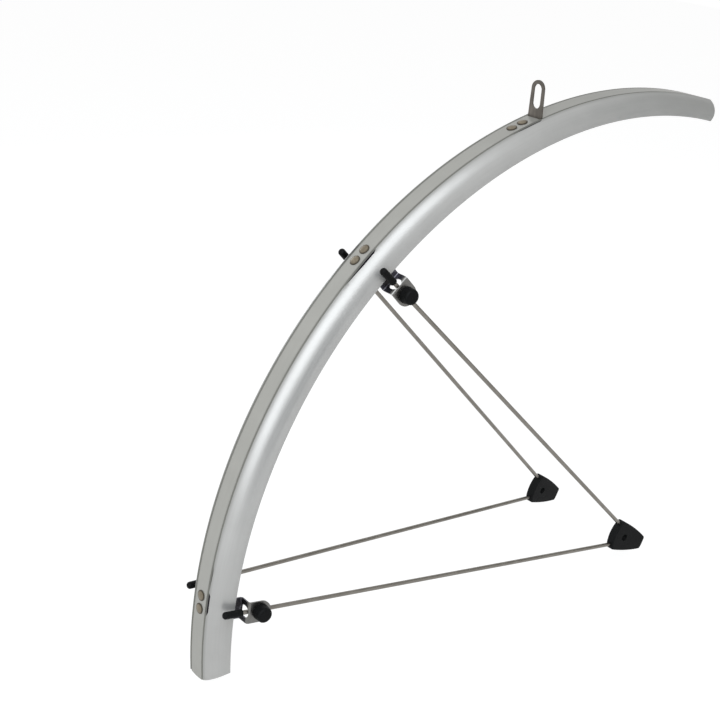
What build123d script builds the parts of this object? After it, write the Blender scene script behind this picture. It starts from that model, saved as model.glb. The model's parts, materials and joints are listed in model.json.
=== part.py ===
from build123d import *
import os
from math import acos, atan2, cos, degrees, hypot, radians, sin

# A front mudguard in millimetres: +X is forward, +Y is the rider's left, +Z is up.
# The origin is the centre of the slot that bolts to the fork crown.
# Angles are measured about the wheel's axle, from straight ahead upwards and back.

# Blade: one channel, a flat band between two curved side panels
band_radius = 350.0  # outside of the band, from the axle
band_width = 15.8
blade_width = 35.8
blade_depth = 15.4
blade_wall = 1.2
side_slope = 28.0  # how steeply a side panel leaves the band, degrees
crease_width = 1.6  # fine groove between band and side panel
crease_depth = 0.6
opening_width = 2.2  # the crease where a strip below it presses it open
opening_depth = 0.9
front_round = 20.0  # radius of the front end, seen from the side
front_round_drop = 2.0  # depth at which the front end stands out most
rear_bulge = 6.5  # how far the rear end stands out in the middle, seen from above
front_length = 178.5  # along the band, from the fork bracket to the front end
rear_length = 481.0

# Fork bracket: a folded strip, its foot under the band and its tab upright through the band
bracket_lean = 15.0  # how far behind the top of the wheel it sits, degrees
bracket_strip = 1.2
bracket_width = 13.0
bracket_bend = 1.5  # inside radius of the fold
foot_length = 28.0
foot_corner = 3.0
tab_top_width = 12.0
slot_length = 16.8
slot_width = 7.4
slot_rim = 2.6  # metal left above the slot
slot_height = 14.0  # slot centre above the band
fork_rivet_start = 12.1  # behind the tab
fork_rivet_pitch = 9.8

# Stay bridges: folded strips inside the blade that end in an ear on each side
strip = 1.0
strip_width = 15.4
strip_bend = 1.0  # inside radius of the folds
upper_bridge_length = 167.0  # along the band, behind the fork bracket
lower_bridge_inset = 57.5  # along the band, from the rear end
bridge_rivet_pitch = 9.6
hook_drop = 4.0  # how far the strip runs past the blade's edge before it folds out
eye_width = 8.4  # round-cornered eye that the stay's end passes through
eye_corner = 3.0
eye_rim = 0.5  # metal left between the eye and the outer face of the ear

# Rivets
rivet_shank = 3.2
rivet_head = 7.4
rivet_head_height = 1.1
rivet_rim = 0.4
rivet_tail = 5.0
rivet_tail_height = 1.0

# Stays: one wire a side, bent to a V that closes in the safety clip
wire = 3.0
apex_ahead = 29.2  # where a stay's two legs would meet, from the axle
apex_drop = 2.9
apex_offset = 47.6  # from the middle of the wheel
apex_bend = 3.5
stay_set = 5.9  # the wire at its clamps, out from the blade's edge
bolt_drop = 15.0  # clamp bolts below the blade's edge
stay_overrun = 25.4  # wire past the clamp bolt

# Clamp bolts, cap nuts and end caps
bolt = 6.0
bolt_end = 2.2  # metal past the wire
bolt_dome = 1.2
nut_width = 11.6
nut_height = 7.0
nut_round = 2.2
nut_taper = 4.0  # degrees
nut_bore_depth = 5.0
cap_width = 5.0
cap_length = 14.0
cap_round = 2.0
cap_tip = 1.6  # plastic past the end of the wire

# Safety clips: flat wedges moulded round the V of the wire
clip_length = 36.0
clip_tip = 8.1  # past the point where the legs would meet
clip_base_width = 24.4
clip_tip_width = 9.6
clip_tip_bulge = 0.8
clip_side_bulge = 1.1
clip_base_bulge = 3.2
clip_corner = 2.0
clip_tip_corner = 5.0
clip_thickness = 7.0
clip_round = 1.0
clip_bevel = 3.0  # length of the thinned narrow end
clip_bevel_depth = 1.6
clip_bore = 5.3
clip_bore_set = 16.8  # behind the point where the legs would meet

# Clearances
seat = 0.1  # flat strips on the curved blade
fit = 0.1  # bolts and rivets in their holes
snug = 0.05  # the wire against the pieces that grip it

os.makedirs("parts", exist_ok=True)


# Places about the axle
bracket_angle = 90.0 + bracket_lean
hub = Vector(
    -band_radius * cos(radians(bracket_angle)),
    0,
    -band_radius * sin(radians(bracket_angle)) - slot_height,
)
axle = Axis(hub, (0, -1, 0))


def angle_at(length):
    """Angle of a point that lies so far behind the fork bracket along the band."""
    return bracket_angle + degrees(length / band_radius)


front_angle = angle_at(-front_length)
rear_angle = angle_at(rear_length)
upper_angle = angle_at(upper_bridge_length)
lower_angle = angle_at(rear_length - lower_bridge_inset)


def outward(angle):
    """Direction from the axle to the band."""
    return Vector(cos(radians(angle)), 0, sin(radians(angle)))


def forward(angle):
    """Direction along the band towards its front end."""
    return Vector(sin(radians(angle)), 0, -cos(radians(angle)))


def section_plane(angle):
    """Plane across the blade: x runs out from the axle and y to the left."""
    return Plane(origin=hub, x_dir=outward(angle), z_dir=-forward(angle))


def band_plane(angle, radius):
    """Plane that lies flat on the band: x runs forward, y to the left."""
    return Plane(origin=hub + outward(angle) * radius, x_dir=forward(angle), z_dir=outward(angle))


def write(part, name):
    """Label a finished piece and write its file."""
    part.label = name
    export_step(part, f"parts/{name}.step")


# Section of the blade, as distance from the axle and from the middle
half_band = band_width / 2
half_width = blade_width / 2
edge_radius = band_radius - blade_depth
start_slope = radians(side_slope)
chord_slope = atan2(blade_depth, half_width - half_band)
end_slope = 2 * chord_slope - start_slope
side_chord = hypot(blade_depth, half_width - half_band)
side_radius = side_chord / (2 * sin((end_slope - start_slope) / 2))
side_centre = Vector(
    band_radius - side_radius * cos(start_slope),
    half_band - side_radius * sin(start_slope),
)


def side_point(radius, slope):
    """Point of a curve that runs alongside the outer face of the side panel."""
    return side_centre + Vector(cos(slope), sin(slope)) * radius


def corner_slope(radius, level):
    """Slope at which such a curve comes up to a distance from the axle."""
    return acos((level - side_centre.X) / radius)


def side_arc(radius, first, last):
    """Such a curve between two slopes."""
    middle = side_point(radius, (first + last) / 2)
    return ThreePointArc(side_point(radius, first), middle, side_point(radius, last))


# Blade
inner_band = band_radius - blade_wall
inner_side = side_radius - blade_wall
inner_slope = corner_slope(inner_side, inner_band)
fork_rivet_angles = [angle_at(fork_rivet_start + i * fork_rivet_pitch) for i in range(2)]


def bridge_rivet_angles(angle):
    """Angles of the two rivets of a stay bridge."""
    half_step = degrees(bridge_rivet_pitch / 2 / band_radius)
    return [angle - half_step, angle + half_step]


rivet_angles = fork_rivet_angles + bridge_rivet_angles(upper_angle) + bridge_rivet_angles(lower_angle)

openings = (
    (upper_angle, strip_width),
    (lower_angle, strip_width),
    (angle_at(foot_length / 2), foot_length),
)
foot_radius = inner_band - seat
fold_angle = degrees(acos((-bracket_strip / 2 - hub.X - bracket_bend) / (foot_radius + bracket_bend)))
fold_start = hub + outward(fold_angle) * foot_radius
tab_slot_start = fold_start.X - fit
tab_slot_end = bracket_strip / 2 + fit

with BuildPart() as blade:
    with BuildSketch(section_plane(front_angle)):
        with BuildLine():
            band = Polyline(
                (inner_band, 0),
                (band_radius, 0),
                (band_radius, half_band - crease_width),
                (band_radius - crease_depth, half_band - crease_width / 2),
                (band_radius, half_band),
            )
            outer = side_arc(side_radius, start_slope, end_slope)
            inner = side_arc(inner_side, end_slope, inner_slope)
            Line(outer @ 1, inner @ 0)
            Line(inner @ 1, band @ 0)
        make_face()
        mirror(about=Plane.XZ)
    revolve(axis=axle, revolution_arc=rear_angle - front_angle)
    front_tip = hub + outward(front_angle) * (band_radius - front_round_drop)
    with BuildSketch(Plane(origin=front_tip, x_dir=forward(front_angle), z_dir=(0, 1, 0))):
        Rectangle(2 * front_round, 2 * front_round)
        with Locations((-front_round, 0)):
            Circle(front_round, mode=Mode.SUBTRACT)
    extrude(amount=blade_width, both=True, mode=Mode.SUBTRACT)
    rear_radius = (half_width**2 + rear_bulge**2) / (2 * rear_bulge)
    with BuildSketch(band_plane(rear_angle, band_radius)):
        Rectangle(2 * rear_radius, 2 * blade_width)
        with Locations((rear_radius, 0)):
            Circle(rear_radius, mode=Mode.SUBTRACT)
    extrude(amount=2 * blade_depth, both=True, mode=Mode.SUBTRACT)
    for angle in rivet_angles:
        with BuildSketch(band_plane(angle, band_radius)):
            Circle(rivet_shank / 2 + fit)
        extrude(amount=2 * blade_wall, both=True, mode=Mode.SUBTRACT)
    for angle, length in openings:
        with BuildSketch(band_plane(angle, band_radius - opening_depth)):
            with Locations((0, half_band), (0, -half_band)):
                SlotOverall(length, opening_width)
        extrude(amount=2 * opening_depth, mode=Mode.SUBTRACT)
    with BuildSketch(Plane.XY.offset(-slot_height)):
        with Locations((tab_slot_start, 0)):
            Rectangle(tab_slot_end - tab_slot_start, bracket_width + 2 * fit, align=(Align.MIN, Align.CENTER))
    extrude(amount=4 * blade_wall, both=True, mode=Mode.SUBTRACT)
write(blade.part, "blade")


# Fork bracket
foot_end_angle = angle_at(foot_length)
tab_foot = hub.Z + (foot_radius + bracket_bend) * sin(radians(fold_angle))
tab_top = slot_length / 2 + slot_rim


def foot_point(angle):
    """Point on the top of the bracket's foot, seen from the right."""
    point = hub + outward(angle) * foot_radius
    return (point.X, point.Z)


with BuildPart() as fork_bracket:
    with BuildSketch(Plane.XZ):
        with BuildLine():
            foot = ThreePointArc(
                foot_point(foot_end_angle),
                foot_point((foot_end_angle + fold_angle) / 2),
                foot_point(fold_angle),
            )
            JernArc(foot @ 1, foot % 1, bracket_bend, 180 - fold_angle)
            offset(amount=bracket_strip, side=Side.RIGHT)
        make_face()
    extrude(amount=bracket_width / 2, both=True)
    with BuildSketch(Plane.YZ.offset(-bracket_strip / 2)):
        with Locations((0, tab_top - tab_top_width / 2)):
            Circle(tab_top_width / 2)
        with Locations((0, tab_foot)):
            Rectangle(bracket_width, bracket_strip, align=(Align.CENTER, Align.MIN))
        make_hull()
        SlotOverall(slot_length, slot_width, rotation=90, mode=Mode.SUBTRACT)
    extrude(amount=bracket_strip)
    foot_end = fork_bracket.faces().sort_by(Axis.X)[0]
    fillet(foot_end.edges().filter_by(Axis.Y, reverse=True), radius=foot_corner)
    for angle in fork_rivet_angles:
        with BuildSketch(band_plane(angle, foot_radius)):
            Circle(rivet_shank / 2 + fit)
        extrude(amount=2 * bracket_strip, both=True, mode=Mode.SUBTRACT)
write(fork_bracket.part, "fork_bracket")


# Rivets
def write_rivets(name, angles, grip):
    """Rivets with a low round head outside and a flat tail inside the blade."""
    with BuildPart() as rivets:
        for angle in angles:
            foot = hub + outward(angle) * band_radius
            with BuildSketch(Plane(origin=foot, x_dir=forward(angle), z_dir=(0, -1, 0))):
                with BuildLine():
                    rim = Polyline(
                        (0, rivet_head_height),
                        (0, -grip - rivet_tail_height),
                        (rivet_tail / 2, -grip - rivet_tail_height),
                        (rivet_tail / 2, -grip),
                        (rivet_shank / 2, -grip),
                        (rivet_shank / 2, 0),
                        (rivet_head / 2, 0),
                        (rivet_head / 2, rivet_rim),
                    )
                    TangentArc(rim @ 0, rim @ 1, tangent=(1, 0))
                make_face()
            revolve(axis=Axis(foot, outward(angle)))
    write(rivets.part, name)


for rivets_name, angles, under in (
    ("fork_bracket_rivets", fork_rivet_angles, bracket_strip),
    ("upper_bridge_rivets", bridge_rivet_angles(upper_angle), strip),
    ("lower_bridge_rivets", bridge_rivet_angles(lower_angle), strip),
):
    write_rivets(rivets_name, angles, blade_wall + seat + under + snug)


# Places of the stays and their clamps
bolt_radius = edge_radius - bolt_drop
stay_offset = half_width + stay_set
grip_offset = wire / 2 + snug  # from the wire's middle to the ear that it lies on


def apex_point(side):
    """Where the two legs of a stay would meet; side is 1 on the left and -1 on the right."""
    return hub + Vector(apex_ahead, side * apex_offset, -apex_drop)


def bolt_point(side, angle):
    """Where the wire crosses its clamp bolt."""
    return hub + outward(angle) * bolt_radius + Vector(0, side * stay_offset, 0)


def leg_way(side, angle):
    """Direction of a leg, from the clip to the blade."""
    return (bolt_point(side, angle) - apex_point(side)).normalized()


def ear_lean(angle):
    """Angle at which an ear leans out so that the wire lies flat on it."""
    way = leg_way(1, angle)
    return atan2(-way.Y, way.dot(outward(angle)))


def bolt_plane(side, angle):
    """Plane at the wire's middle, square to the clamp bolt, facing out of the ear."""
    lean = ear_lean(angle)
    out = outward(angle) * sin(lean) + Vector(0, side * cos(lean), 0)
    return Plane(origin=bolt_point(side, angle), x_dir=forward(angle), z_dir=out)


# Stay bridges
def write_bridge(name, angle):
    """A strip that lines the blade, folds out under both edges and ends in two ears."""
    lean = ear_lean(angle)
    level = inner_band - seat
    side = inner_side - seat
    fold = strip_bend + strip
    hook_start = side_point(side, end_slope) + Vector(-sin(end_slope), cos(end_slope)) * hook_drop
    hook_end = hook_start + Vector(cos(end_slope) - 1, sin(end_slope)) * strip_bend
    ear_top = hook_end.X - fold * (1 - sin(lean))
    ear_face = Vector(bolt_radius, stay_offset) + Vector(sin(lean), cos(lean)) * (grip_offset + strip)
    ear_top_offset = ear_face.Y - (ear_top - ear_face.X) * sin(lean) / cos(lean)
    flange_length = ear_top_offset - fold * cos(lean) - hook_end.Y
    ear_length = (ear_top - ear_face.X) / cos(lean) + strip_width / 2
    with BuildPart() as bridge:
        with BuildSketch(section_plane(angle)):
            with BuildLine():
                crease = corner_slope(side, level)
                flat = Line((level, 0), side_point(side, crease))
                wall = side_arc(side, crease, end_slope)
                leg = PolarLine(wall @ 1, hook_drop, direction=wall % 1)
                hook = JernArc(leg @ 1, leg % 1, strip_bend, -degrees(end_slope))
                flange = PolarLine(hook @ 1, flange_length, direction=hook % 1)
                bend = JernArc(flange @ 1, flange % 1, fold, 90 - degrees(lean))
                PolarLine(bend @ 1, ear_length, direction=bend % 1)
                offset(amount=strip, side=Side.LEFT)
            make_face()
            mirror(about=Plane.XZ)
        extrude(amount=strip_width / 2, both=True)
        ear_ends = bridge.edges().filter_by(lambda edge: abs(edge.length - strip) < snug)
        fillet(ear_ends, radius=strip_width / 2 - snug)
        for rivet_angle in bridge_rivet_angles(angle):
            with BuildSketch(band_plane(rivet_angle, level)):
                Circle(rivet_shank / 2 + fit)
            extrude(amount=2 * strip, both=True, mode=Mode.SUBTRACT)
        eye_start = half_width
        eye_end = ear_top_offset - eye_rim
        for way in (1, -1):
            with BuildSketch(bolt_plane(way, angle)):
                Circle(bolt / 2 + fit)
            extrude(amount=grip_offset + 2 * strip, mode=Mode.SUBTRACT)
            with BuildSketch(band_plane(angle, hook_end.X - fold)):
                with Locations((0, way * (eye_start + eye_end) / 2)):
                    RectangleRounded(eye_width, eye_end - eye_start, eye_corner)
            extrude(amount=fold + strip_bend, mode=Mode.SUBTRACT)
    write(bridge.part, name)


write_bridge("upper_stay_bridge", upper_angle)
write_bridge("lower_stay_bridge", lower_angle)


# Stays
def wire_end(side, angle):
    """End of the wire, past its clamp bolt."""
    return bolt_point(side, angle) + leg_way(side, angle) * stay_overrun


def bend_stay(side):
    """The wire of one side."""
    with BuildPart() as stay:
        with BuildLine() as path:
            FilletPolyline(
                wire_end(side, upper_angle),
                apex_point(side),
                wire_end(side, lower_angle),
                radius=apex_bend,
            )
        with BuildSketch(Plane(origin=path.line @ 0, z_dir=path.line % 0)):
            Circle(wire / 2)
        sweep()
    return stay.part


# Safety clips
def clip_plane(side):
    """Plane of a stay's V: x runs to the clip's narrow end, z away from the wheel."""
    upper = leg_way(side, upper_angle)
    lower = leg_way(side, lower_angle)
    out = upper.cross(lower).normalized()
    out = out if out.Y * side > 0 else -out
    return Plane(origin=apex_point(side), x_dir=-(upper + lower), z_dir=out)


def write_clip(name, side, stay):
    """A wedge moulded round the V of the wire, with a bore for the fork's screw."""
    base = clip_tip - clip_length
    base_corner = (base + clip_base_bulge, clip_base_width / 2)
    tip_corner = (clip_tip - clip_tip_bulge, clip_tip_width / 2)
    with BuildPart() as clip:
        with BuildSketch(clip_plane(side)) as outline:
            with BuildLine():
                TangentArc((base, 0), base_corner, tangent=(0, 1))
                SagittaArc(base_corner, tip_corner, clip_side_bulge)
                TangentArc((clip_tip, 0), tip_corner, tangent=(0, 1))
                Line((clip_tip, 0), (base, 0))
            make_face()
            mirror(about=Plane.XZ)
            corners = outline.vertices().filter_by(lambda corner: abs(corner.Y) > clip_corner)
            fillet(corners.sort_by(Axis.X)[:2], radius=clip_corner)
            corners = outline.vertices().filter_by(lambda corner: abs(corner.Y) > clip_corner)
            fillet(corners.sort_by(Axis.X)[-2:], radius=clip_tip_corner)
        extrude(amount=clip_thickness / 2, both=True)
        fillet(clip.faces().filter_by(GeomType.PLANE).edges(), radius=clip_round)
        add(stay, mode=Mode.SUBTRACT)
        with BuildSketch(clip_plane(side)):
            with Locations((-clip_bore_set, 0)):
                Circle(clip_bore / 2)
        extrude(amount=clip_thickness, both=True, mode=Mode.SUBTRACT)
        plane = clip_plane(side)
        with BuildSketch(Plane(origin=plane.origin, x_dir=plane.x_dir, z_dir=plane.y_dir)):
            for face in (clip_thickness / 2, -clip_thickness / 2):
                level = face * (1 - 2 * clip_bevel_depth / clip_thickness)
                with BuildLine():
                    Polyline((clip_tip - clip_bevel, face), (clip_tip, face), (clip_tip, level), close=True)
                make_face()
        extrude(amount=clip_base_width, both=True, mode=Mode.SUBTRACT)
    write(clip.part, name)


# Clamp bolts, cap nuts and end caps
def write_eye_bolt(name, side, angle):
    """A bolt whose cross hole holds the wire against the ear."""
    plane = bolt_plane(side, angle)
    inner_end = wire / 2 + bolt_end
    outer_end = grip_offset + strip + nut_bore_depth - fit
    with BuildPart() as eye_bolt:
        with BuildSketch(plane.offset(-inner_end)):
            Circle(bolt / 2)
        extrude(amount=inner_end + outer_end)
        ends = eye_bolt.edges().filter_by(GeomType.CIRCLE).sort_by(Axis(plane.origin, plane.z_dir))
        fillet(ends[0], radius=bolt_dome)
        with BuildSketch(Plane(origin=plane.origin, z_dir=leg_way(side, angle))):
            Circle(wire / 2 + snug)
        extrude(amount=bolt, both=True, mode=Mode.SUBTRACT)
    write(eye_bolt.part, name)


def write_cap_nut(name, side, angle):
    """A round plastic nut with a blind bore, seated on the outside of the ear."""
    seat_plane = bolt_plane(side, angle).offset(grip_offset + strip)
    with BuildPart() as cap_nut:
        with BuildSketch(seat_plane):
            Circle(nut_width / 2)
        extrude(amount=nut_height, taper=nut_taper)
        crown = cap_nut.edges().sort_by(Axis(seat_plane.origin, seat_plane.z_dir))[-1]
        fillet(crown, radius=nut_round)
        with BuildSketch(seat_plane):
            Circle(bolt / 2 + fit)
        extrude(amount=nut_bore_depth, mode=Mode.SUBTRACT)
    write(cap_nut.part, name)


def write_end_cap(name, side, angle):
    """A closed plastic sleeve over the end of the wire."""
    end_plane = Plane(origin=wire_end(side, angle), z_dir=leg_way(side, angle))
    mouth_plane = end_plane.offset(cap_tip - cap_length)
    with BuildPart() as end_cap:
        with BuildSketch(mouth_plane):
            Circle(cap_width / 2)
        extrude(amount=cap_length)
        crown = end_cap.edges().sort_by(Axis(end_plane.origin, end_plane.z_dir))[-1]
        fillet(crown, radius=cap_round)
        with BuildSketch(mouth_plane):
            Circle(wire / 2 + snug)
        extrude(amount=cap_length - cap_tip, mode=Mode.SUBTRACT)
    write(end_cap.part, name)


for side, side_name in ((-1, "right"), (1, "left")):
    stay = bend_stay(side)
    write(stay, f"{side_name}_stay")
    write_clip(f"{side_name}_safety_clip", side, stay)
    for angle, level_name in ((upper_angle, "upper"), (lower_angle, "lower")):
        write_eye_bolt(f"{level_name}_{side_name}_eye_bolt", side, angle)
        write_cap_nut(f"{level_name}_{side_name}_cap_nut", side, angle)
        write_end_cap(f"{level_name}_{side_name}_end_cap", side, angle)
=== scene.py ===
# %% [markdown]
# A front bicycle mudguard in Blender
#
# The solid model gives every piece its shape and place: a curved blade, a slotted fork bracket, folded
# stay bridges, wire stays and black plastic fittings. This script loads that model as a fixed frame,
# gives each piece the finish of the real one, and sets up the camera and the light.

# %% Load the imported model
import json
import math

import bmesh
import bpy
from mathutils import Matrix, Vector


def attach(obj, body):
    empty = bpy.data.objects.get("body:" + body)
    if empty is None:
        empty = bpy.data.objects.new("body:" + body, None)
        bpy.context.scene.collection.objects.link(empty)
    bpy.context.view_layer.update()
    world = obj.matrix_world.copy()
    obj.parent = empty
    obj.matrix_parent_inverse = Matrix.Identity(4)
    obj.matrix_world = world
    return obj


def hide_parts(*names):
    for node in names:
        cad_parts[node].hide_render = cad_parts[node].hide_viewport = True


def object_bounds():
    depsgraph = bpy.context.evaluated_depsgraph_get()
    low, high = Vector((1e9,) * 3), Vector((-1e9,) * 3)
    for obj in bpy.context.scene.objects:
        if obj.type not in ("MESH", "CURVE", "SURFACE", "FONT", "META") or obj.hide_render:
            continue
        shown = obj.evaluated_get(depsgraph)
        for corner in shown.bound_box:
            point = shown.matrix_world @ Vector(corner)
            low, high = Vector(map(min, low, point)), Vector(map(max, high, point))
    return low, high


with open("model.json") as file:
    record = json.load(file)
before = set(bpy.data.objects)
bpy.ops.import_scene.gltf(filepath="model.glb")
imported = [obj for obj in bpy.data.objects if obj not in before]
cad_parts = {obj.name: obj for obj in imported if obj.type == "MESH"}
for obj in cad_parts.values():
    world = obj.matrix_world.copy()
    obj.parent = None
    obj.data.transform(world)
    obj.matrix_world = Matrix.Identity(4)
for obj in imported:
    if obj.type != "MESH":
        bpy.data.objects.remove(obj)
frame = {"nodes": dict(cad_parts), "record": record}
nodes = frame["nodes"]
cad_low, cad_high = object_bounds()
print("nodes:", len(nodes))

# %% [markdown]
# Places that the shapes and finishes need
#
# The blade is a slice of a ring round the wheel's axle, so its shape and its pattern follow a circle. With
# the axle's place known, any point can be given by its angle about the axle and its distance from it. These
# values repeat those of the solid model, in metres.

# %% Places in metres
MM = 0.001
AXLE = Vector((0.090587, 0.0, -0.352074))
BAND_RADIUS = 350 * MM
WALL = 1.2 * MM
HALF_BAND = 7.9 * MM
HALF_WIDTH = 17.9 * MM
BLADE_DEPTH = 15.4 * MM
SIDE_SLOPE = math.radians(28.0)
BRACKET_ANGLE = math.radians(105.0)
FRONT_LENGTH = 178.5 * MM
REAR_LENGTH = 481 * MM


def outward(angle):
    """Direction away from the axle at an angle about it."""
    return Vector((math.cos(angle), 0.0, math.sin(angle)))


def angle_at(length):
    """Angle of a point that lies so far behind the fork bracket along the band."""
    return BRACKET_ANGLE + length / BAND_RADIUS


FRONT_ANGLE = angle_at(-FRONT_LENGTH)
REAR_ANGLE = angle_at(REAR_LENGTH)
print("blade from", round(math.degrees(FRONT_ANGLE)), "to", round(math.degrees(REAR_ANGLE)), "degrees")


# %% [markdown]
# The blade
#
# The blade is a pressed channel that follows a circle. Sweeping its cross-section round the axle with spin
# makes it in one go, finer than the solid model so that the long highlight runs smoothly. The side panel of
# the section is an arc, so it is a spin as well, of a single point. The rounded ends come from sliding the
# points along the circle. The front end is rounded as seen from the side, so its points move back by their
# depth below the band, and the rear end is rounded as seen from above, by their distance from the middle.

# %% Sizes of the section
SIDE_REACH = HALF_WIDTH - HALF_BAND
END_SLOPE = 2 * math.atan2(BLADE_DEPTH, SIDE_REACH) - SIDE_SLOPE
SIDE_TURN = END_SLOPE - SIDE_SLOPE
SIDE_RADIUS = math.hypot(BLADE_DEPTH, SIDE_REACH) / (2 * math.sin(SIDE_TURN / 2))
SIDE_CENTRE = Vector((
    BAND_RADIUS - SIDE_RADIUS * math.cos(SIDE_SLOPE),
    HALF_BAND - SIDE_RADIUS * math.sin(SIDE_SLOPE),
))
SIDE_STEPS = 18
INNER_SIDE = SIDE_RADIUS - WALL
INNER_SLOPE = math.acos((BAND_RADIUS - WALL - SIDE_CENTRE.x) / INNER_SIDE)
CREASE_WIDTH = 1.6 * MM
CREASE_DEPTH = 0.6 * MM
SHADE_WIDTH = 1.1 * MM
SLOT_HALF = 6.6 * MM
MIDDLE_ROW = 3.2 * MM
print("side panel radius in mm:", round(SIDE_RADIUS / MM, 1))


# %% Section of the blade
def section_point(radius, offset):
    """Point of the section at a distance from the axle and an offset to one side."""
    return AXLE + outward(FRONT_ANGLE) * radius + Vector((0.0, offset, 0.0))


def chain(work, points):
    """Joins new points in a row and returns the last vertex."""
    last = None
    for point in points:
        vertex = work.verts.new(section_point(*point))
        if last:
            work.edges.new((last, vertex))
        last = vertex
    return last


def side_arc(work, corner, turn):
    """Spins a corner of the band round the middle of the side panel's arc."""
    arc = bmesh.ops.spin(
        work, geom=[corner], cent=section_point(*SIDE_CENTRE), axis=outward(FRONT_ANGLE + math.pi / 2),
        angle=turn, steps=SIDE_STEPS,
    )
    return [part for part in arc["geom_last"] if isinstance(part, bmesh.types.BMVert)][0]


MERGE = 0.001 * MM
groove = HALF_BAND - CREASE_WIDTH / 2
groove_start = HALF_BAND - CREASE_WIDTH
shade_start = groove_start - SHADE_WIDTH
slot_depth = CREASE_DEPTH * (SLOT_HALF - groove_start) / (groove - groove_start)
inner_corner = SIDE_CENTRE.y + INNER_SIDE * math.sin(INNER_SLOPE)
flat_rows = (0.0, MIDDLE_ROW, shade_start, groove_start)
outer = [(BAND_RADIUS, row) for row in flat_rows]
outer.append((BAND_RADIUS - slot_depth, SLOT_HALF))
outer.append((BAND_RADIUS - CREASE_DEPTH, groove))
outer.append((BAND_RADIUS, HALF_BAND))
inner = [(BAND_RADIUS - WALL, row) for row in flat_rows + (SLOT_HALF, inner_corner)]

blade_work = bmesh.new()
outer_edge = side_arc(blade_work, chain(blade_work, outer), SIDE_TURN)
inner_edge = side_arc(blade_work, chain(blade_work, inner), END_SLOPE - INNER_SLOPE)
blade_work.edges.new((outer_edge, inner_edge))
half_section = blade_work.verts[:] + blade_work.edges[:]
bmesh.ops.mirror(blade_work, geom=half_section, axis="Y", merge_dist=MERGE)
print("section points:", len(blade_work.verts))

# %% Sweep and rounded ends
BLADE_STEPS = 600
FRONT_ROUND = 20 * MM
FRONT_ROUND_DROP = 2 * MM
REAR_BULGE = 6.5 * MM
REAR_ROUND = (HALF_WIDTH**2 + REAR_BULGE**2) / (2 * REAR_BULGE)
bmesh.ops.spin(
    blade_work, geom=blade_work.verts[:] + blade_work.edges[:], cent=AXLE, axis=(0.0, -1.0, 0.0),
    angle=REAR_ANGLE - FRONT_ANGLE, steps=BLADE_STEPS,
)


def polar(point):
    """Angle about the axle and distance from it."""
    up = point.z - AXLE.z
    forward = point.x - AXLE.x
    return math.atan2(up, forward) % (2 * math.pi), math.hypot(up, forward)


def set_back(distance, radius):
    """How far a circle has fallen back at this distance from its foremost point."""
    return radius - math.sqrt(radius**2 - distance**2)


for vertex in blade_work.verts:
    angle, radius = polar(vertex.co)
    share = (angle - FRONT_ANGLE) / (REAR_ANGLE - FRONT_ANGLE)
    front_drop = BAND_RADIUS - radius - FRONT_ROUND_DROP
    front = FRONT_ANGLE + math.asin(set_back(front_drop, FRONT_ROUND) / radius)
    rear = REAR_ANGLE - math.asin(set_back(vertex.co.y, REAR_ROUND) / radius)
    moved = AXLE + outward(front + share * (rear - front)) * radius
    vertex.co = (moved.x, vertex.co.y, moved.z)
print("swept points:", len(blade_work.verts))

# %% [markdown]
# Creases that open over the strips
#
# Where a bridge or the bracket's foot presses from below, a slit opens beside the crease and thins out
# along the blade. Each slit is a run along the band: where it starts, where it is fully open, where it
# begins to close, where it has closed again, and how far it opens on the right and on the left. The rim of
# the crease is pressed in there, and the first row of the side panel moves away from it, which makes a
# wedge. An attribute on the corners of the faces paints shade on it: 0 on the plain blade, a half for the
# painted shade in the crease and 1 for the painted shadow in an open slit, with a soft painted shade beside
# the crease. Corners keep the painted shade inside the groove, while points would let it run out over the
# faces beside it.

# %% Runs of the slits
SLITS = (
    (1 * MM, 3 * MM, 16 * MM, 32 * MM, 0.6, 0.0),
    (158.5 * MM, 161.5 * MM, 172 * MM, 192 * MM, 1.0, 0.35),
    (393 * MM, 397 * MM, 403 * MM, 415 * MM, 0.3, 0.0),
    (413 * MM, 415 * MM, 427 * MM, 430 * MM, 1.0, 0.0),
)
first_row, second_row = [
    SIDE_CENTRE.y + SIDE_RADIUS * math.sin(SIDE_SLOPE + SIDE_TURN / SIDE_STEPS * row) for row in (1, 2)
]


def slit_opening(point):
    """1 where a slit is fully open and 0 where there is none."""
    length = (polar(point)[0] - BRACKET_ANGLE) * BAND_RADIUS
    opening = 0.0
    for start, open_from, open_to, end, right, left in SLITS:
        rise = (length - start) / (open_from - start)
        fall = (end - length) / (end - open_to)
        opening = max(opening, (right if point.y < 0 else left) * min(1.0, rise, fall))
    return opening


print("slits:", len(SLITS))

# %% Painted shade of the creases and slits
NEAR = 0.1 * MM
INNER_SKIN = 0.95 * MM
# Shares of painted shade and painted shadow: beside the crease, in the crease, and more in an open slit.
CREASE_SHADE = 0.2
CREASE_TONE = 0.5
SLIT_TONE = 0.5
BAND_WALL_TONE = 0.15
LIP_TONE = 2.5
dark = blade_work.loops.layers.float.new("crease")
dark_faces = 0
for face in blade_work.faces:
    middle = face.calc_center_median()
    offset = abs(middle.y)
    if polar(middle)[1] < BAND_RADIUS - INNER_SKIN or not shade_start < offset < second_row:
        continue
    dark_faces += 1
    for loop in face.loops:
        opening = slit_opening(loop.vert.co)
        reach = abs(loop.vert.co.y)
        if offset < groove_start:
            loop[dark] = CREASE_SHADE if reach > groove_start - NEAR else 0.0
        elif offset < groove:
            loop[dark] = CREASE_TONE + BAND_WALL_TONE * opening
        elif offset < HALF_BAND:
            loop[dark] = CREASE_TONE + SLIT_TONE * opening
        elif offset < first_row:
            loop[dark] = max(CREASE_SHADE, min(1.0, LIP_TONE * opening))
        else:
            loop[dark] = CREASE_SHADE * (1.0 - opening) if reach < first_row + NEAR else 0.0
print("faces in or beside a crease:", dark_faces)

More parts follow.
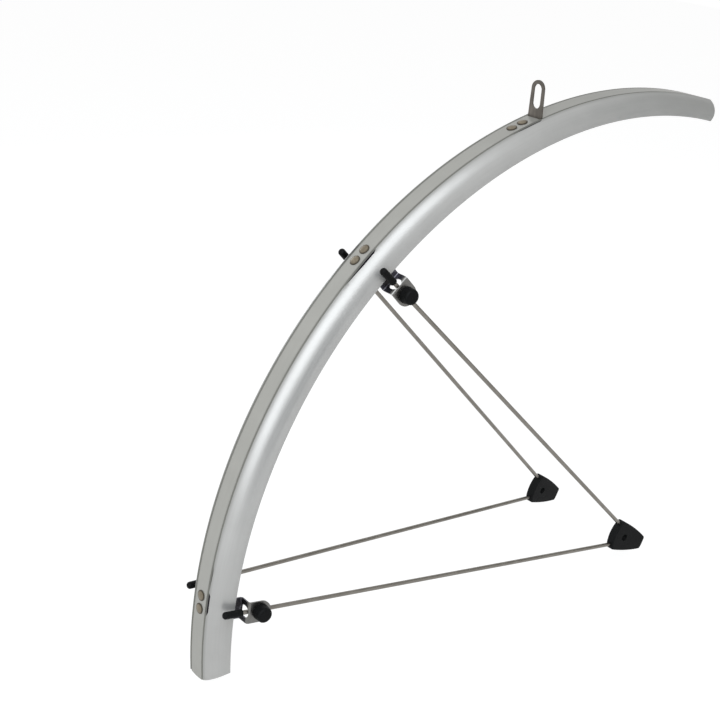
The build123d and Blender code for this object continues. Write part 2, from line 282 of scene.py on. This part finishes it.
# %% Shape of the slits
LIP_SHUT = 0.2 * MM
LIP_OPEN = 1.15 * MM
RIM_PRESS = 0.8 * MM
GROOVE_PRESS = 0.3 * MM
GROOVE_FLOOR = 0.65 * MM
opened = 0
for vertex in blade_work.verts:
    angle, radius = polar(vertex.co)
    offset = abs(vertex.co.y)
    if radius < BAND_RADIUS - GROOVE_FLOOR:
        continue
    opening = slit_opening(vertex.co)
    opened += opening > 0.0
    if abs(offset - groove) < NEAR:
        radius -= GROOVE_PRESS * opening
    elif abs(offset - HALF_BAND) < NEAR:
        radius -= RIM_PRESS * opening
    elif abs(offset - first_row) < NEAR:
        slope = SIDE_SLOPE + (LIP_SHUT + LIP_OPEN * opening) / SIDE_RADIUS
        radius = SIDE_CENTRE.x + SIDE_RADIUS * math.cos(slope)
        offset = SIDE_CENTRE.y + SIDE_RADIUS * math.sin(slope)
    moved = AXLE + outward(angle) * radius
    vertex.co = (moved.x, math.copysign(offset, vertex.co.y), moved.z)
print("points along the slits:", opened)

# %% [markdown]
# Slot for the fork bracket
#
# The bracket's tab comes up through a slot in the band. Two cuts across the blade mark the slot's front and
# rear, the faces between them are deleted, and bridging the two rims makes the slot's walls. A fill then
# closes each end of the blade, where the outer and inner skins meet.

# %% Slot
SLOT_REAR = -1.85 * MM
SLOT_FRONT = 0.7 * MM
SLOT_RIM = 3 * MM
TAB_ANGLE = 0.02
near_tab = []
for face in blade_work.faces:
    middle = face.calc_center_median()
    if abs(polar(middle)[0] - BRACKET_ANGLE) < TAB_ANGLE and abs(middle.y) < SLOT_HALF:
        near_tab.append(face)
for cut in (SLOT_REAR, SLOT_FRONT):
    edges = {edge for face in near_tab for edge in face.edges}
    corners = {vertex for face in near_tab for vertex in face.verts}
    parts = list(set(near_tab) | edges | corners)
    result = bmesh.ops.bisect_plane(
        blade_work, geom=parts, plane_co=(cut, 0.0, 0.0), plane_no=(1.0, 0.0, 0.0)
    )
    near_tab = [part for part in result["geom"] if isinstance(part, bmesh.types.BMFace)]
hole = [face for face in near_tab if SLOT_REAR < face.calc_center_median().x < SLOT_FRONT]
bmesh.ops.delete(blade_work, geom=hole, context="FACES")
rims = [edge for edge in blade_work.edges if edge.is_boundary and abs(edge.verts[0].co.x) < SLOT_RIM]
bmesh.ops.bridge_loops(blade_work, edges=rims)
print("edges round the slot:", len(rims))

# %% Ends and normals
SHARP = math.radians(25.0)
ends = [edge for edge in blade_work.edges if edge.is_boundary]
for way in (-1, 1):
    rim = [edge for edge in ends if edge.is_valid and (edge.verts[0].co.x - AXLE.x) * way > 0]
    bmesh.ops.edgenet_fill(blade_work, edges=rim)
bmesh.ops.recalc_face_normals(blade_work, faces=blade_work.faces)
for face in blade_work.faces:
    face.smooth = True
for edge in blade_work.edges:
    edge.smooth = edge.calc_face_angle(0.0) < SHARP
still_open = sum(edge.is_boundary for edge in blade_work.edges)
print("blade faces:", len(blade_work.faces), "open edges before:", len(ends), "and after:", still_open)

# %% Blade in the scene
blade_mesh = bpy.data.meshes.new("blade_shell")
blade_work.to_mesh(blade_mesh)
blade_work.free()
blade_shell = bpy.data.objects.new("blade_shell", blade_mesh)
bpy.context.scene.collection.objects.link(blade_shell)
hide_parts("blade")
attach(blade_shell, "root")
print("blade points:", len(blade_mesh.vertices))


# %% [markdown]
# Helpers for the finishes
#
# Colours are written as sRGB hex values, as a colour picker shows them, and Blender's shaders want linear
# light, so one function converts them. A second function adds a node: inputs that are sockets are linked,
# other inputs are set as values, and keyword arguments set the node's own options. Inputs can be given by
# number. Map Range has the value at 0, the range it comes from at 1 and 2, and the range it goes to at 3
# and 4. A Mix of colours has the share at 0, the two colours at 6 and 7, and its result at output 2.

# %% Colour and node helpers
def linear(hex_colour):
    channels = [int(hex_colour[i:i + 2], 16) / 255 for i in (1, 3, 5)]
    return tuple(c / 12.92 if c <= 0.04045 else ((c + 0.055) / 1.055) ** 2.4 for c in channels) + (1.0,)


def add_node(tree, kind, inputs=None, **options):
    node = tree.nodes.new(kind)
    for name, value in options.items():
        setattr(node, name, value)
    for key, value in (inputs or {}).items():
        if isinstance(value, bpy.types.NodeSocket):
            tree.links.new(value, node.inputs[key])
        else:
            node.inputs[key].default_value = value
    return node


def new_finish(name):
    """A material, its tree, its shader and the place of each point in the object's own coordinates."""
    material = bpy.data.materials.new(name)
    material.use_nodes = True
    tree = material.node_tree
    shader = tree.nodes["Principled BSDF"]
    place = add_node(tree, "ShaderNodeTexCoord")
    return material, tree, shader, place.outputs["Object"]


print("mid grey in linear light:", round(linear("#808080")[0], 3))

# %% [markdown]
# Silver laminate for the blade
#
# The blade is a thin sandwich of metal foil between clear plastic skins, pressed to a channel. The foil
# gives a satin silver sheen and the skin a soft gloss on top. The flat band in the middle looks a little
# warmer than the curved sides. A dark line of painted shade runs along each crease, and it opens to a
# painted shadow where a strip below presses on it. The foil's rolling marks follow the blade, so they are
# drawn on a flat sheet: the length along the circle and the offset to one side.

# %% Silver laminate
BAND_GREY = linear("#B0AFA9")
SIDE_GREY = linear("#B1B0AD")
# Painted shade in the crease, and painted shadow in an open slit.
CREASE_SHADE_GREY = linear("#7F7E77")
SLIT_SHADOW = linear("#1C181F")
SKIN_TINT = linear("#A0A0A0")
BAND_FADE = 0.4 * MM
FOIL_SHARE = 0.42
# Rolling marks of the foil, coarser than the real ones so that they show, and wide faint clouds.
MARK_LENGTH = 40 * MM
MARK_WIDTH = 0.625 * MM
MARK_DEPTH = 0.02 * MM
CLOUD_SIZE = 25 * MM


def make_silver_laminate():
    material, tree, shader, place = new_finish("silver_laminate")
    centred = add_node(tree, "ShaderNodeVectorMath", {0: place, 1: AXLE}, operation="SUBTRACT")
    parts = add_node(tree, "ShaderNodeSeparateXYZ", {0: centred.outputs[0]})
    turn = {0: parts.outputs["Z"], 1: parts.outputs["X"]}
    angle = add_node(tree, "ShaderNodeMath", turn, operation="ARCTAN2")
    along = add_node(tree, "ShaderNodeMath", {0: angle.outputs[0], 1: BAND_RADIUS}, operation="MULTIPLY")
    across = add_node(tree, "ShaderNodeMath", {0: parts.outputs["Y"]}, operation="ABSOLUTE")
    sheet = add_node(tree, "ShaderNodeCombineXYZ", {0: along.outputs[0], 1: parts.outputs["Y"], 2: 0.0})

    mark_scale = (1 / MARK_LENGTH, 1 / MARK_WIDTH, 1.0)
    stretch = add_node(tree, "ShaderNodeMapping", {"Vector": sheet.outputs[0], "Scale": mark_scale})
    fine = {"Vector": stretch.outputs[0], "Scale": 1.0, "Detail": 3.0}
    marks = add_node(tree, "ShaderNodeTexNoise", fine)
    clouds = add_node(tree, "ShaderNodeTexNoise", {"Vector": place, "Scale": 1 / CLOUD_SIZE, "Detail": 4.0})

    border = {0: across.outputs[0], 1: HALF_BAND - BAND_FADE, 2: HALF_BAND}
    side = add_node(tree, "ShaderNodeMapRange", border)
    greys = {0: side.outputs[0], 6: BAND_GREY, 7: SIDE_GREY}
    body = add_node(tree, "ShaderNodeMix", greys, data_type="RGBA")
    tone = add_node(tree, "ShaderNodeMapRange", {0: marks.outputs[0], 1: 0.3, 2: 0.7, 3: 0.98, 4: 1.02})
    cloud = add_node(tree, "ShaderNodeMapRange", {0: clouds.outputs[0], 1: 0.3, 2: 0.7, 3: 0.97, 4: 1.03})
    both = add_node(tree, "ShaderNodeMath", {0: tone.outputs[0], 1: cloud.outputs[0]}, operation="MULTIPLY")
    dimmed = {0: body.outputs[2], 3: both.outputs[0]}
    toned = add_node(tree, "ShaderNodeVectorMath", dimmed, operation="SCALE")

    # The crease is painted as a dull grey line of shade, so that it doesn't catch the lamps, and a slit is
    # painted nearly black as its shadow.
    crease = add_node(tree, "ShaderNodeAttribute", attribute_name="crease")
    shut = add_node(tree, "ShaderNodeMapRange", {0: crease.outputs["Fac"], 1: 0.0, 2: CREASE_TONE})
    opening = add_node(tree, "ShaderNodeMapRange", {0: crease.outputs["Fac"], 1: CREASE_TONE, 2: 1.0})
    darks = {0: opening.outputs[0], 6: CREASE_SHADE_GREY, 7: SLIT_SHADOW}
    line = add_node(tree, "ShaderNodeMix", darks, data_type="RGBA")
    surface = {0: shut.outputs[0], 6: toned.outputs[0], 7: line.outputs[2]}
    lined = add_node(tree, "ShaderNodeMix", surface, data_type="RGBA")
    tree.links.new(lined.outputs[2], shader.inputs["Base Color"])
    metal = add_node(tree, "ShaderNodeMapRange", {0: shut.outputs[0], 3: FOIL_SHARE, 4: 0.0})
    tree.links.new(metal.outputs[0], shader.inputs["Metallic"])

    sheen = add_node(tree, "ShaderNodeMapRange", {0: marks.outputs[0], 1: 0.3, 2: 0.7, 3: 0.32, 4: 0.37})
    rough = add_node(tree, "ShaderNodeMath", {0: sheen.outputs[0], 1: shut.outputs[0]}, operation="MAXIMUM")
    tree.links.new(rough.outputs[0], shader.inputs["Roughness"])
    relief = {"Strength": 0.05, "Distance": MARK_DEPTH, "Height": marks.outputs[0]}
    grain = add_node(tree, "ShaderNodeBump", relief)
    tree.links.new(grain.outputs[0], shader.inputs["Normal"])
    # The skin is worn dull, so the sheen hardly rises where the blade is seen edge on.
    shader.inputs["Specular IOR Level"].default_value = 0.3
    shader.inputs["Specular Tint"].default_value = SKIN_TINT
    return material


silver_laminate = make_silver_laminate()
print("made", silver_laminate.name, "with", len(silver_laminate.node_tree.nodes), "nodes")

# %% [markdown]
# Steel finishes
#
# The wire stays are drawn stainless steel, the bridges are cut from rolled strip, and the fork bracket is a
# duller, darker steel. All are the same kind of surface: metal with fine scratches that spread the
# reflections, so one function makes them with different colours and scratch directions. The rivets' alloy
# is close enough to use it too. Some get a zone of painted shade: the hooks of the bridges are painted dark
# for the shade and dark reflections under the blade's edge, and the rim of a rivet's head is painted darker
# than its crown as shade round its dome. Such a zone lies at one distance from the axle, so it is given in
# millimetres by where it starts, is darkest from and to, and ends. The hooks' zone also ends some way out
# from the middle, before the fold to the ear.

# %% Steel
# Worn patches, about 8 mm wide: 120 to the metre.
PATCH_SCALE = 120.0
SCRATCH_DEPTH = 0.05 * MM
ROUGH_SPREAD = 0.06
REACH_FADE = 0.8 * MM


def make_steel(name, light, dark, roughness, scratch_scale, shade_colour=None, zone=None, reach=HALF_WIDTH):
    material, tree, shader, place = new_finish(name)
    stretch = add_node(tree, "ShaderNodeMapping", {"Vector": place, "Scale": scratch_scale})
    fine = {"Vector": stretch.outputs[0], "Scale": 1.0, "Detail": 4.0}
    scratches = add_node(tree, "ShaderNodeTexNoise", fine)
    patches = add_node(tree, "ShaderNodeTexNoise", {"Vector": place, "Scale": PATCH_SCALE, "Detail": 3.0})
    worn = {0: scratches.outputs[0], 1: patches.outputs[0]}
    blend = add_node(tree, "ShaderNodeMath", worn, operation="MULTIPLY")
    mask = add_node(tree, "ShaderNodeMapRange", {0: blend.outputs[0], 1: 0.12, 2: 0.4})
    tones = {0: mask.outputs[0], 6: linear(dark), 7: linear(light)}
    colour = add_node(tree, "ShaderNodeMix", tones, data_type="RGBA")
    # Painted shade: a zone at one distance from the axle, out to a reach from the middle, gets a darker
    # colour.
    if shade_colour:
        centred = add_node(tree, "ShaderNodeVectorMath", {0: place, 1: AXLE}, operation="SUBTRACT")
        side_on = {0: centred.outputs[0], 1: (1.0, 0.0, 1.0)}
        flat = add_node(tree, "ShaderNodeVectorMath", side_on, operation="MULTIPLY")
        distance = add_node(tree, "ShaderNodeVectorMath", {0: flat.outputs[0]}, operation="LENGTH")
        distance = distance.outputs["Value"]
        parts = add_node(tree, "ShaderNodeSeparateXYZ", {0: centred.outputs[0]})
        across = add_node(tree, "ShaderNodeMath", {0: parts.outputs["Y"]}, operation="ABSOLUTE")
        rise = add_node(tree, "ShaderNodeMapRange", {0: distance, 1: zone[0] * MM, 2: zone[1] * MM})
        fall = add_node(tree, "ShaderNodeMapRange", {0: distance, 1: zone[3] * MM, 2: zone[2] * MM})
        fade = {0: across.outputs[0], 1: reach + REACH_FADE, 2: reach}
        close = add_node(tree, "ShaderNodeMapRange", fade)
        band = {0: rise.outputs[0], 1: fall.outputs[0]}
        ring = add_node(tree, "ShaderNodeMath", band, operation="MULTIPLY")
        part = {0: ring.outputs[0], 1: close.outputs[0]}
        inside = add_node(tree, "ShaderNodeMath", part, operation="MULTIPLY")
        tones = {0: inside.outputs[0], 6: colour.outputs[2], 7: linear(shade_colour)}
        colour = add_node(tree, "ShaderNodeMix", tones, data_type="RGBA")
    tree.links.new(colour.outputs[2], shader.inputs["Base Color"])
    spread = {0: scratches.outputs[0], 1: 0.3, 2: 0.7}
    spread[3] = roughness - ROUGH_SPREAD
    spread[4] = roughness + ROUGH_SPREAD
    rough = add_node(tree, "ShaderNodeMapRange", spread)
    tree.links.new(rough.outputs[0], shader.inputs["Roughness"])
    relief = {"Strength": 0.15, "Distance": SCRATCH_DEPTH, "Height": scratches.outputs[0]}
    grain = add_node(tree, "ShaderNodeBump", relief)
    tree.links.new(grain.outputs[0], shader.inputs["Normal"])
    shader.inputs["Metallic"].default_value = 1.0
    print("made", name)
    return material


# %% [markdown]
# Black moulded plastic
#
# The clips, cap nuts and end caps are moulded in black nylon. The mould is lightly etched, so the surface
# has a fine grain that turns sharp reflections into a soft satin shine.

# %% Black plastic
NYLON_DARK = linear("#080809")
NYLON_LIGHT = linear("#101111")
# Marks per metre: the etching is drawn about half a millimetre coarse, because the real one is too fine to
# show, and the flow of the plastic leaves cloudy marks about 11 mm wide.
ETCH_SCALE = 1800.0
FLOW_SCALE = 90.0
ETCH_DEPTH = 0.05 * MM


def make_black_nylon():
    material, tree, shader, place = new_finish("black_nylon")
    etch = add_node(tree, "ShaderNodeTexNoise", {"Vector": place, "Scale": ETCH_SCALE, "Detail": 2.0})
    flow = add_node(tree, "ShaderNodeTexNoise", {"Vector": place, "Scale": FLOW_SCALE, "Detail": 3.0})
    tones = {0: flow.outputs[0], 6: NYLON_DARK, 7: NYLON_LIGHT}
    colour = add_node(tree, "ShaderNodeMix", tones, data_type="RGBA")
    tree.links.new(colour.outputs[2], shader.inputs["Base Color"])
    rough = add_node(tree, "ShaderNodeMapRange", {0: flow.outputs[0], 1: 0.3, 2: 0.7, 3: 0.5, 4: 0.6})
    tree.links.new(rough.outputs[0], shader.inputs["Roughness"])
    relief = {"Strength": 0.2, "Distance": ETCH_DEPTH, "Height": etch.outputs[0]}
    grain = add_node(tree, "ShaderNodeBump", relief)
    tree.links.new(grain.outputs[0], shader.inputs["Normal"])
    shader.inputs["Specular IOR Level"].default_value = 0.1
    return material


black_nylon = make_black_nylon()
print("made", black_nylon.name)

# %% [markdown]
# Dressing the pieces
#
# Each node of the solid model already sits in the right place, so it only needs its finish in its material
# slot. The scratches of each metal are given in marks per metre along the three axes: 900 is a mark every
# 1.1 mm and 60 one every 17 mm, so a low number is the way that the metal was rolled or drawn. Real
# scratches are finer, and these are as coarse as they need to be to show.

# %% Steels of the pieces
# Zone of painted shade and dark reflection on the bridges' hooks, under the blade's edge, in mm from the
# axle.
HOOK_SHADE_ZONE = (325.0, 326.0, 336.0, 338.0)
HOOK_REACH = 23.2 * MM
# Zone of painted shade round the rim of each rivet's head, in mm from the axle.
RIM_SHADE_ZONE = (349.0, 349.9, 350.5, 350.8)
# Bare rolled steel that has gone dull: hardly any shine, and a brown tinge.
dull_steel = make_steel("dull_steel", "#76716B", "#5D5954", 0.42, (900.0, 900.0, 60.0))
# Rolled stainless strip: a clear grey sheen, with painted shade and dark reflection on the hooks.
rolled_stainless = make_steel(
    "rolled_stainless", "#7A7977", "#6C6B68", 0.3, (600.0, 60.0, 600.0), "#5A595F", HOOK_SHADE_ZONE, HOOK_REACH
)
# Pressed alloy that has gone dull: yellowish crowns, with painted shade round the rim.
dull_alloy = make_steel(
    "dull_alloy", "#918878", "#776F61", 0.45, (700.0, 700.0, 700.0), "#4C463D", RIM_SHADE_ZONE
)
# Drawn wire: a warm grey with fine lines along it.
drawn_stainless = make_steel("drawn_stainless", "#8A8680", "#7A7670", 0.32, (90.0, 900.0, 90.0))
# Turned bolts: the brightest of the metals, with an even grain.
turned_stainless = make_steel("turned_stainless", "#A9A7A3", "#83807B", 0.3, (900.0, 900.0, 900.0))

# %% Assign the finishes
finishes = {
    "blade_laminate": silver_laminate,
    "bracket_steel": dull_steel,
    "bridge_steel": rolled_stainless,
    "rivet_alloy": dull_alloy,
    "stay_wire": drawn_stainless,
    "bolt_steel": turned_stainless,
    "black_plastic": black_nylon,
}
slot_of = {row["node"]: row["material_slot"] for row in frame["record"]["subparts"]}
for name, piece in nodes.items():
    for slot in piece.material_slots:
        slot.material = finishes[slot_of[name]]
blade_mesh.materials.append(silver_laminate)
print("finishes:", {slot: sum(s == slot for s in slot_of.values()) for slot in finishes})

# %% [markdown]
# Floor and background
#
# The photo has a pure white background. The floor and the world are white for rays that come straight from
# the camera or from a reflection, and plainer for the light that they give to the object. The floor glows a
# little less than white and adds some light of its own surface, so that the object's shadow stays on it.

# %% Floor
FLOOR_SIZE = 6.0
FLOOR_GAP = 0.2 * MM
floor_mesh = bpy.data.meshes.new("floor")
work = bmesh.new()
bmesh.ops.create_grid(work, x_segments=1, y_segments=1, size=FLOOR_SIZE / 2)
bmesh.ops.translate(work, verts=work.verts, vec=(0.0, 0.0, cad_low.z - FLOOR_GAP))
work.to_mesh(floor_mesh)
work.free()
floor = bpy.data.objects.new("floor", floor_mesh)
bpy.context.scene.collection.objects.link(floor)
print("floor at", round((cad_low.z - FLOOR_GAP) / MM, 1), "mm")


# %% White paper
def seen_rays(tree):
    """1 for rays from the camera, a reflection or a clear material, and 0 for light on the object."""
    rays = add_node(tree, "ShaderNodeLightPath").outputs
    direct = {0: rays["Is Camera Ray"], 1: rays["Is Glossy Ray"]}
    seen = add_node(tree, "ShaderNodeMath", direct, operation="MAXIMUM")
    through = {0: seen.outputs[0], 1: rays["Is Transmission Ray"]}
    return add_node(tree, "ShaderNodeMath", through, operation="MAXIMUM").outputs[0]


WHITE = (1.0, 1.0, 1.0, 1.0)
PAPER = (0.9, 0.9, 0.9, 1.0)
PAPER_SEEN = (0.25, 0.25, 0.25, 1.0)
PAPER_GLOW = 0.9
paper = bpy.data.materials.new("white_paper")
paper.use_nodes = True
tree = paper.node_tree
matt = add_node(tree, "ShaderNodeBsdfDiffuse", {"Color": PAPER_SEEN})
glow = add_node(tree, "ShaderNodeEmission", {"Color": WHITE, "Strength": PAPER_GLOW})
sheet = add_node(tree, "ShaderNodeAddShader", {0: matt.outputs[0], 1: glow.outputs[0]})
plain = add_node(tree, "ShaderNodeBsdfDiffuse", {"Color": PAPER})
mix = add_node(tree, "ShaderNodeMixShader", {0: seen_rays(tree), 1: plain.outputs[0], 2: sheet.outputs[0]})
tree.links.new(mix.outputs[0], tree.nodes["Material Output"].inputs["Surface"])
floor_mesh.materials.append(paper)
print("made", paper.name)

# %% World
STUDIO_FILL = 0.3
STUDIO_SEEN = 1.0
world = bpy.data.worlds.new("studio")
bpy.context.scene.world = world
world.use_nodes = True
tree = world.node_tree
level = add_node(tree, "ShaderNodeMapRange", {0: seen_rays(tree), 3: STUDIO_FILL, 4: STUDIO_SEEN})
tree.links.new(level.outputs[0], tree.nodes["Background"].inputs["Strength"])
tree.nodes["Background"].inputs["Color"].default_value = WHITE
print("world light:", STUDIO_FILL, "and", STUDIO_SEEN, "where it is seen")


# %% [markdown]
# Lamps
#
# One long soft box hangs above and behind the camera. Its long side leans the way that the blade curves,
# so the blade mirrors it as one long highlight down the curved side. A weaker one stands low on the other
# side, where the flat band doesn't mirror it for the camera, and gives the far panel a highlight too.

# %% Lamps
def facing(place, target, lean):
    """Turns the back of a lamp or board away from its target, with its height along the lean."""
    back = (place - target).normalized()
    right = lean.cross(back).normalized()
    return Matrix.Translation(place) @ Matrix((right, back.cross(right), back)).transposed().to_4x4()


LAMP_COLOUR = (0.89, 0.94, 1.0)
UPRIGHT = Vector((0.0, 0.0, 1.0))
BOX_PLACE = Vector((-0.90, -0.85, 0.735))
BOX_TARGET = Vector((-0.13, 0.0, -0.15))
BOX_LEAN = Vector((0.667, 0.0, 0.754))
BACK_PLACE = Vector((0.0, 1.35, 0.0))
for name, place, target, lean, width, height, power in (
    ("soft_box", BOX_PLACE, BOX_TARGET, BOX_LEAN, 0.87, 2.3, 23.0),
    ("back_box", BACK_PLACE, BOX_TARGET, UPRIGHT, 0.7, 0.5, 4.0),
):
    light = bpy.data.lights.new(name, "AREA")
    light.shape = "RECTANGLE"
    light.size = width
    light.size_y = height
    light.energy = power
    light.color = LAMP_COLOUR
    lamp = bpy.data.objects.new(name, light)
    bpy.context.scene.collection.objects.link(lamp)
    lamp.matrix_world = facing(place, target, lean)
    lamp.visible_camera = False
    print(name, round((place - target).length, 2), "m from the blade")

# %% [markdown]
# Grey boards
#
# Bare metal looks flat when it mirrors white on every side, so a photographer stands grey boards outside
# the picture. Here one below the soft box gives the highlight its dark edge, and a pale one at the front
# darkens the front of the blade. Only reflections see the boards, so they take no light away from the
# object.

# %% Boards
SIDE_BOARD = Vector((-0.449, -1.031, -0.091))
SIDE_BOARD_TARGET = Vector((-0.2, 0.0, -0.17))
FRONT_BOARD = Vector((0.82, -0.32, 0.27))
FRONT_BOARD_TARGET = Vector((0.12, 0.0, -0.01))
for name, grey, place, target, lean, width, height in (
    ("side_board", "#A0A0A0", SIDE_BOARD, SIDE_BOARD_TARGET, BOX_LEAN, 0.6, 0.8),
    ("front_board", "#D4D3CC", FRONT_BOARD, FRONT_BOARD_TARGET, UPRIGHT, 0.8, 0.95),
):
    card = bpy.data.materials.new(name)
    card.use_nodes = True
    tree = card.node_tree
    plain = add_node(tree, "ShaderNodeBsdfDiffuse", {"Color": linear(grey)})
    tree.links.new(plain.outputs[0], tree.nodes["Material Output"].inputs["Surface"])
    mesh = bpy.data.meshes.new(name)
    work = bmesh.new()
    bmesh.ops.create_grid(work, x_segments=1, y_segments=1, size=0.5)
    bmesh.ops.scale(work, verts=work.verts, vec=(width, height, 1.0))
    bmesh.ops.transform(work, verts=work.verts, matrix=facing(place, target, lean))
    work.to_mesh(mesh)
    work.free()
    mesh.materials.append(card)
    board = bpy.data.objects.new(name, mesh)
    bpy.context.scene.collection.objects.link(board)
    for ray in ("camera", "diffuse", "transmission", "volume_scatter", "shadow"):
        setattr(board, "visible_" + ray, False)
    print(name, width, "by", height, "m")

# %% [markdown]
# Camera
#
# The camera stands where the photo was taken from. Its place and directions were worked out by fitting the
# blade's curve, the clips and the slot to the photo.

# %% Camera
CAMERA_FROM_AXLE = Vector((-0.7896, -0.6847, 0.5387))
RIGHT = Vector((0.7894, -0.6097, 0.0713))
AHEAD = Vector((0.5882, 0.7180, -0.3720))
LENS = 71.3
SENSOR = 36.0
camera_data = bpy.data.cameras.new("camera")
camera_data.lens = LENS
camera_data.sensor_width = SENSOR
camera = bpy.data.objects.new("camera", camera_data)
bpy.context.scene.collection.objects.link(camera)
up = RIGHT.cross(AHEAD).normalized()
ahead = up.cross(RIGHT).normalized()
turn = Matrix((RIGHT.normalized(), up, -ahead)).transposed()
camera.matrix_world = Matrix.Translation(AXLE + CAMERA_FROM_AXLE) @ turn.to_4x4()
bpy.context.scene.camera = camera
bpy.context.scene.view_settings.view_transform = "Standard"
print("camera", round(CAMERA_FROM_AXLE.length, 2), "m from the axle")
